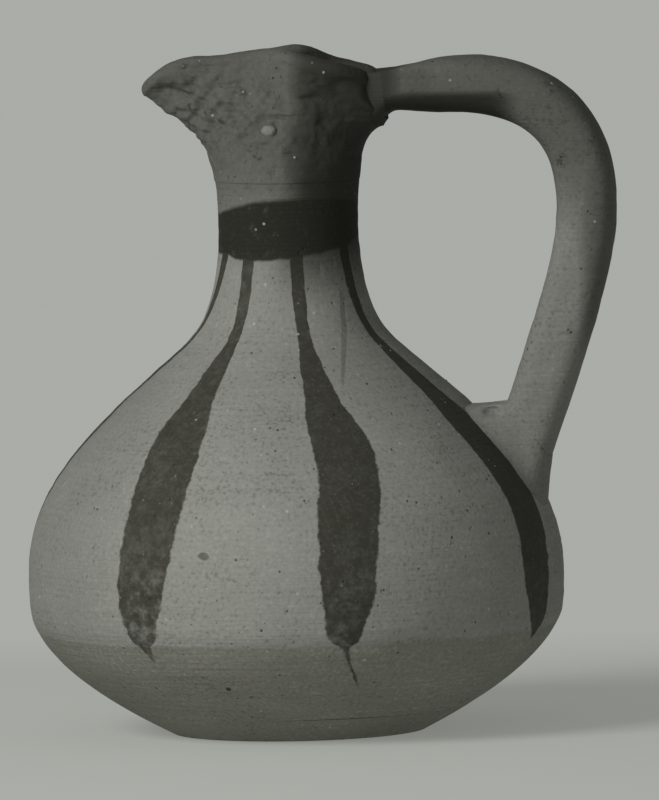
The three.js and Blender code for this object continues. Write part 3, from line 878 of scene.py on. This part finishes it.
@dataclass
class LoopHandle:
    """The pulled strap, its clay on the shoulder, and the clinch inside the wall.

    Lengths are in millimetres, and root, crown and elbow are places X and Z on the middle line.
    """

    sides: int = 112
    steps: int = 110
    half_thickness: float = 8.5
    half_width: float = 9.7
    root_half_thickness: float = 6.4
    root_half_width: float = 13.0
    trough: float = 5.2
    raised: float = 2.6
    tongue: float = 10.5
    fillet: float = 0.098
    fillet_reach: float = 7.0
    corner: float = 0.66
    root: tuple[float, float] = (26.0, 185.7)
    crown: tuple[float, float] = (48.0, 187.2)
    elbow: tuple[float, float] = (87.1, 152.0)
    tenon_tilt: float = 19.0
    tenon_height: float = 78.5
    bury: float = 13.0
    climb: float = 11.0
    reach: float = 5.5
    ledge_height: float = 94.6
    ledge_foot: float = 94.0
    notch_place: tuple[float, float] = (59.3, 92.4)
    notch_reach: tuple[float, float] = (2.3, 1.2)
    notch_depth: float = 2.0
    wad_rows: int = 26

    def line(self) -> tuple[Points, Points, Points]:
        """Middle line of the strap in the XZ plane, from inside the mouth to the tenon's end.

        Returns:
            Its points, the outward directions there and the distances run from the root.
        """
        foot = np.array([float(body_radius(np.array([self.tenon_height]))[0]), self.tenon_height])
        tilt = np.radians(self.tenon_tilt)
        rising = np.array([np.sin(tilt), np.cos(tilt)])
        root, crown, elbow = (np.array(place) for place in (self.root, self.crown, self.elbow))
        stretches = (
            (root - (9.8, 2.6), root - (6.5, 1.4), root - (3, 0.5), root),
            (root, (33.3, 186.5), (40.7, 187.2), crown),
            (crown, crown + (26, 0), elbow + (0, 23), elbow),
            (elbow, elbow - (0, 18), foot + rising * 32, foot),
            (foot, foot - rising * 4, foot - rising * 9, foot - rising * self.bury),
        )
        t = np.linspace(0, 1, self.steps)[:, None]
        parts = [bezier(*(np.asarray(place, float) for place in stretch), t) for stretch in stretches]
        middle = np.concatenate([parts[0], *(part[1:] for part in parts[1:])])
        along = unit(np.gradient(middle, axis=0))
        run = np.r_[0, np.cumsum(np.linalg.norm(np.diff(middle, axis=0), axis=1))]
        run -= run[np.argmin(np.linalg.norm(middle - root, axis=1))]
        return middle, np.stack([-along[:, 1], along[:, 0]], axis=-1), run

    def surface(self) -> tuple[Points, Points]:
        """Surface of the strap and its tenon.

        Returns:
            Loops of points, and the outward directions there.
        """
        middle, out, run = self.line()
        fade = ease(np.clip(run / 21, 0, 1))[:, None]
        angle = full_turn(self.sides, 0.5)
        across = self.root_half_width + (self.half_width - self.root_half_width) * fade
        across = across * (0.62 + 0.38 * np.clip(1 + (run - 4) / 12, 0, 1))[:, None]
        across = across * rounded(np.cos(angle), self.corner)
        through = self.root_half_thickness + (self.half_thickness - self.root_half_thickness) * fade
        through = through * (0.35 + 0.65 * np.clip(1 + run / self.tongue, 0, 1))[:, None]
        through = through * rounded(np.sin(angle), self.corner)
        web = self.fillet * np.clip(self.fillet_reach - run, 0, self.fillet_reach) ** 2
        web = web * np.clip((run + 7) / 3, 0, 1)
        hollow = np.clip(1 - run / 30, 0, 1)[:, None]
        dish = hollow * (self.trough * np.sin(angle) ** 2 - self.raised)
        under = np.clip(-np.sin(angle), 0, 1) ** 1.5
        through = np.where(through > 0, through - dish * np.clip(through / 2, 0, 1), through)
        loops = np.empty((len(middle), self.sides, 3))
        loops[..., 0] = middle[:, None, 0] + out[:, None, 0] * through
        loops[..., 1] = across
        loops[..., 2] = middle[:, None, 1] + out[:, None, 1] * through - web[:, None] * under
        return loops, grid_normals(loops)

    def strap(self) -> bpy.types.Object:
        """The strap from the rim to the shoulder.

        Returns:
            The piece.
        """
        loops, normal = self.surface()
        loops += normal * weather(loops, 0.0, 0.1)[..., None]
        return skin("handle_clay", loops, Layout.CAPPED)

    def crossing(self, loops: Points) -> tuple[Points, Points]:
        """Where the strap runs into the body.

        Args:
            loops: the strap's surface.

        Returns:
            For each side of the strap, its first loop inside the body and the place where it enters.
        """
        radius = np.hypot(loops[..., 0], loops[..., 1])
        above = radius - body_radius(np.clip(loops[..., 2], 20, 150))
        above[loops[..., 2] > 120] = 1.0
        last = np.argmax(above < 0, axis=0)
        side = np.arange(self.sides)
        low, high = loops[last, side], loops[last - 1, side]
        share = (above[last - 1, side] / (above[last - 1, side] - above[last, side]))[:, None]
        return last, high + (low - high) * share

    def wad(self) -> bpy.types.Object:
        """The clay luted round the strap's foot, with its flat ledge under the handle.

        Returns:
            The piece.
        """
        loops, _ = self.surface()
        last, cross = self.crossing(loops)
        side, angle = np.arange(self.sides), full_turn(self.sides, 0.5)
        under = np.clip(-np.sin(angle), 0, 1)[:, None] ** 0.7
        outer = np.clip(np.sin(angle), 0, 1)[:, None]
        run = self.line()[2]
        top = loops[np.searchsorted(run, run[last] - self.climb), side]
        off_ledge = np.abs(loops[..., 2] - self.ledge_height) + 50 * (loops[..., 0] < 40)
        top = top * (1 - under) + loops[np.argmin(off_ledge, axis=0), side] * under
        spread = unit(cross - cross.mean(axis=0))
        foot = cross + spread * (self.reach + 1.5 * outer)
        foot[:, 2] += (self.ledge_foot - foot[:, 2]) * under[:, 0]
        scale = body_radius(foot[:, 2]) / np.hypot(foot[:, 0], foot[:, 1])
        foot[:, :2] *= (scale - 0.012)[:, None]
        knee = cross * (1 - under) + under * (0.7 * top + 0.3 * foot + np.array([-1.0, 0, 0.4]))
        away = cross * np.array([1, 1, 0]) / np.hypot(cross[:, 0], cross[:, 1])[:, None]
        knee += (away * (1.2 + 1.3 * outer) + np.array([0, 0, 3.0]) * outer) * (1 - under)
        t = np.linspace(0, 1, self.wad_rows)[:, None, None]
        sheet = (1 - t) ** 2 * top + 2 * t * (1 - t) * knee + t * t * foot
        core = sheet * np.array([0.975, 0.9, 0.985]) + np.array([0, 0, -0.5])
        rows = np.concatenate([sheet, core[::-5]])
        lumps = weather(sheet, 0.0, 0.12) * np.sin(np.pi * t[..., 0])
        rows[: self.wad_rows] += spread * lumps[..., None]
        (east, height), (wide, tall) = self.notch_place, self.notch_reach
        notch = ((rows[..., 0] - east) / wide) ** 4 + ((rows[..., 2] - height) / tall) ** 4
        rows[..., 1] += self.notch_depth * np.exp(-np.clip(notch, 0, 9)) * (rows[..., 1] < -3)
        return skin("shoulder_wad_clay", rows, Layout.RING)

    def clinch(self) -> bpy.types.Object:
        """The collar of clay that grips the tenon inside the wall.

        Returns:
            The piece.
        """
        radius, lean = hermite(STATIONS, np.array([self.tenon_height]))
        inward = -np.array([1.0, 0, -lean[0]]) / np.hypot(1, lean[0])
        start = np.array([radius[0], 0, self.tenon_height]) + inward * (WALL - 0.6)
        side = np.array([0, 1.0, 0])
        angle = full_turn(64)
        ring = np.outer(np.cos(angle), side) + np.outer(np.sin(angle), np.cross(inward, side))
        lumpy = 1 + 0.04 * np.sin(3 * angle)
        rows = [start + inward * deep + ring * (wide * lumpy)[:, None] for wide, deep in CLINCH_PROFILE]
        return skin("tenon_clinch_clay", np.array(rows), Layout.CAPPED)


@dataclass
class Grit:
    """The pale stone in the mouth's wall and the fine grit that shows all over."""

    bearing: float = -94.0
    place: float = 0.42
    half: tuple[float, float, float] = (2.25, 1.5, 1.65)
    density: float = 5200.0  # grains to the square metre
    grain_radius: float = 0.00024  # metres
    grain_scales: tuple[float, float] = (0.4, 1.2)
    seed: int = 11

    def stone(self, mouth: PinchedMouth) -> bpy.types.Object:
        """The oval stone, knobbly and half sunk in the wall.

        Args:
            mouth: the mouth that it sits in.

        Returns:
            The piece.
        """
        centre = mouth.surface(np.array([self.bearing]), np.array([self.place]))[0][0, 0]
        turn = np.radians(self.bearing + 90)
        down, across = np.linspace(0.05, np.pi - 0.05, 26), np.linspace(0, 2 * np.pi, 48, endpoint=False)
        v, u = np.meshgrid(down, across, indexing="ij")
        ball = np.stack([np.sin(v) * np.cos(u), np.sin(v) * np.sin(u), -np.cos(v)], axis=-1)
        ball *= np.array(self.half) * (1 + 0.09 * value_noise(ball * 4, 2.2, 21))[..., None]
        x = ball[..., 0] * np.cos(turn) - ball[..., 1] * np.sin(turn)
        y = ball[..., 0] * np.sin(turn) + ball[..., 1] * np.cos(turn)
        return skin("grit_stone_pale", np.stack([x, y, ball[..., 2]], axis=-1) + centre, Layout.CAPPED)

    def specks(self, host: bpy.types.Object, material: bpy.types.Material) -> bpy.types.Object:
        """Fine grit scattered over a host by Geometry Nodes.

        Args:
            host: the piece that it lies on.
            material: its finish.

        Returns:
            The piece, one plain mesh of all the grains.
        """
        tree = bpy.data.node_groups.new("scatter_grit", "GeometryNodeTree")
        face = tree.interface
        face.new_socket("Geometry", in_out="INPUT", socket_type="NodeSocketGeometry")
        amount = face.new_socket("Density", in_out="INPUT", socket_type="NodeSocketFloat")
        size = face.new_socket("Grain Radius", in_out="INPUT", socket_type="NodeSocketFloat")
        face.new_socket("Geometry", in_out="OUTPUT", socket_type="NodeSocketGeometry")
        add = tree.nodes.new
        start, end = add("NodeGroupInput"), add("NodeGroupOutput")
        scatter = add("GeometryNodeDistributePointsOnFaces")
        scatter.inputs["Seed"].default_value = self.seed
        grain, place = add("GeometryNodeMeshIcoSphere"), add("GeometryNodeInstanceOnPoints")
        grain.inputs["Subdivisions"].default_value = 1
        vary, real = add("FunctionNodeRandomValue"), add("GeometryNodeRealizeInstances")
        vary.inputs[2].default_value, vary.inputs[3].default_value = self.grain_scales
        paint = add("GeometryNodeSetMaterial")
        paint.inputs["Material"].default_value = material
        for source, output, target, socket in (
            (start, "Geometry", scatter, "Mesh"),
            (start, "Density", scatter, "Density"),
            (start, "Grain Radius", grain, "Radius"),
            (scatter, "Points", place, "Points"),
            (grain, "Mesh", place, "Instance"),
            (vary, 1, place, "Scale"),
            (place, "Instances", real, "Geometry"),
            (real, "Geometry", paint, "Geometry"),
            (paint, "Geometry", end, "Geometry"),
        ):
            tree.links.new(source.outputs[output], target.inputs[socket])
        carrier = linked("grit_carrier", host.data.copy())
        modifier = carrier.modifiers.new("scatter", "NODES")
        modifier.node_group = tree
        modifier[amount.identifier], modifier[size.identifier] = self.density, self.grain_radius
        ready = carrier.evaluated_get(bpy.context.evaluated_depsgraph_get())
        mesh = bpy.data.meshes.new_from_object(ready)
        mesh.name = "grit_specks"
        bpy.data.objects.remove(carrier)
        return linked("grit_specks", mesh)


# The lamps: name, place and width in metres, and power in watts
LAMPS = (("key", (-1.15, -1.4, 1.15), 0.9, 34.0), ("fill", (-0.5, -2.2, 0.3), 1.6, 7.0))


@dataclass
class Studio:
    """Camera, floor, backdrop and lamps, in metres, degrees and pixels."""

    azimuth: float = 8.0
    elevation: float = 4.2
    roll: float = 1.3
    distance: float = 5.0
    pixel: float = 0.29 * MM
    width: int = 659
    height: int = 800
    base_pixel: tuple[float, float] = (300.0, 729.5)
    sensor: float = 24.0  # millimetres
    sight: float = 50.0
    backdrop: Colour = (0.405, 0.415, 0.39)
    paper: Colour = (0.30, 0.31, 0.29)
    # The floor's glow is painted light: it lifts the floor's shadow and lights the jug from below
    paper_glow: Colour = (0.2, 0.204, 0.19)
    daylight: Colour = (1, 1, 0.98)
    daylight_strength: float = 0.20
    floor_half: float = 4.0
    floor_end: float = 0.34
    aim: tuple[float, float, float] = (0.0, 0.0, 0.1)

    def camera(self) -> None:
        """Places the camera so that the jug's base lies on its pixel."""
        a, e, r = (np.radians(v) for v in (self.azimuth, self.elevation, self.roll))
        forward = Vector((-np.sin(a) * np.cos(e), np.cos(a) * np.cos(e), -np.sin(e)))
        level = Vector((np.cos(a), np.sin(a), 0))
        upright = level.cross(forward)
        right = level * np.cos(r) - upright * np.sin(r)
        up = level * np.sin(r) + upright * np.cos(r)
        shift_x = (self.width / 2 - self.base_pixel[0]) * self.pixel
        shift_y = (self.base_pixel[1] - self.height / 2) * self.pixel
        place = right * shift_x + up * shift_y - forward * self.distance
        data = bpy.data.cameras.new("camera")
        data.sensor_fit = "VERTICAL"
        data.sensor_height = self.sensor
        data.lens = data.sensor_height * self.distance / (self.height * self.pixel)
        data.clip_end = self.sight
        camera = linked("camera", data)
        basis = Matrix((right, up, -forward)).transposed().to_4x4()
        camera.matrix_world = Matrix.Translation(place) @ basis
        bpy.context.scene.camera = camera

    def floor(self) -> None:
        """A wide flat floor that fades into the backdrop's colour towards its far edge."""
        half, end = self.floor_half, self.floor_end
        mesh = bpy.data.meshes.new("floor")
        corners = [(-half, -half, 0), (half, -half, 0), (half, end, 0), (-half, end, 0)]
        mesh.from_pydata(corners, [], [(0, 1, 2, 3)])
        stage = linked("floor", mesh)
        graph = Graph("floor_paper")
        graph.shader.inputs["Base Color"].default_value = (*self.paper, 1)
        # Painted light: the paper glows, lifting its shadow and lighting the jug from below
        graph.shader.inputs["Emission Color"].default_value = (*self.paper_glow, 1)
        graph.shader.inputs["Emission Strength"].default_value = 1.0
        graph.shader.inputs["Roughness"].default_value = 0.95
        graph.shader.inputs["Specular IOR Level"].default_value = 0.1
        place = graph.node("ShaderNodeTexCoord", {}, [], "Object")
        away = graph.axes(place)[1]
        glow = graph.node("ShaderNodeEmission", {}, {"Color": (*self.backdrop, 1)})
        fade = graph.node("ShaderNodeMixShader", {}, {0: away.step(0.16, 0.335), 2: glow})
        graph.tree.links.new(graph.shader.outputs[0], fade.socket.node.inputs[1])
        graph.tree.links.new(fade.socket, graph.tree.nodes["Material Output"].inputs[0])
        mesh.materials.append(graph.material)

    def world(self) -> None:
        """A dim even world, which the camera sees in the backdrop's colour."""
        world = bpy.data.worlds.new("studio")
        world.use_nodes = True
        tree = world.node_tree
        plain = tree.nodes["Background"]
        plain.inputs["Color"].default_value = (*self.daylight, 1)
        plain.inputs["Strength"].default_value = self.daylight_strength
        seen = tree.nodes.new("ShaderNodeBackground")
        seen.inputs[0].default_value = (*self.backdrop, 1)
        path, mix = tree.nodes.new("ShaderNodeLightPath"), tree.nodes.new("ShaderNodeMixShader")
        tree.links.new(path.outputs["Is Camera Ray"], mix.inputs[0])
        tree.links.new(plain.outputs[0], mix.inputs[1])
        tree.links.new(seen.outputs[0], mix.inputs[2])
        tree.links.new(mix.outputs[0], tree.nodes["World Output"].inputs[0])
        bpy.context.scene.world = world

    def lamps(self) -> None:
        """A soft key from the upper left front and a weak fill."""
        for name, place, size, power in LAMPS:
            light = bpy.data.lights.new(name, "AREA")
            light.size, light.energy = size, power
            lamp = linked(name, light)
            lamp.location = place
            towards = Vector(self.aim) - Vector(place)
            lamp.rotation_euler = towards.to_track_quat("-Z", "Y").to_euler()


def finish_piece(piece: bpy.types.Object, material: bpy.types.Material, node: str | None) -> None:
    """Gives a piece its finish and ties it to the frame.

    Args:
        piece: the new mesh object.
        material: its finish.
        node: the CAD node that it stands for, if any.
    """
    if not piece.data.materials:
        piece.data.materials.append(material)
    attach(piece, "root")
    if node:
        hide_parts(node)
    log.info("%s: %d faces", piece.name, len(piece.data.polygons))


def main() -> None:
    """Builds the scene."""
    bpy.context.scene.view_settings.view_transform = "Standard"
    studio = Studio()
    studio.camera()
    studio.floor()
    studio.world()
    studio.lamps()
    painted = ClayFinish("painted_clay", True).build()
    plain = ClayFinish("plain_clay", False).build()
    handled = ClayFinish("handled_clay", False, even_darkening=0.3).build()
    stone = StoneFinish().build()
    body, mouth, handle, grit = ThrownBody(), PinchedMouth(), LoopHandle(), Grit()
    shell = body.ring("upper_body_clay", JOINTS["keel"], JOINTS["neck"])
    pieces = (
        (body.disc(), plain, "bare_clay", "base_disc"),
        (body.ring("lower_bowl_clay", JOINTS["base"], JOINTS["keel"]), painted, "bare_clay", "lower_bowl"),
        (shell, painted, "washed_clay", "upper_body"),
        (body.ring("neck_clay", JOINTS["neck"], COLLAR_HEIGHT), painted, "washed_clay", "neck"),
        (mouth.wall(), plain, "washed_clay", "spout_mouth"),
        (mouth.pad(), plain, "washed_clay", "rim_wad"),
        (handle.strap(), handled, "washed_clay", "handle"),
        (handle.wad(), handled, "washed_clay", "shoulder_wad"),
        (handle.clinch(), plain, "bare_clay", "tenon_clinch"),
        (grit.stone(mouth), stone, "stone", "grit_stone"),
        (grit.specks(shell, stone), stone, "stone", None),
    )
    for piece, material, slot, node in pieces:
        finish_piece(piece, material, node)


if __name__ == "__main__":
    main()
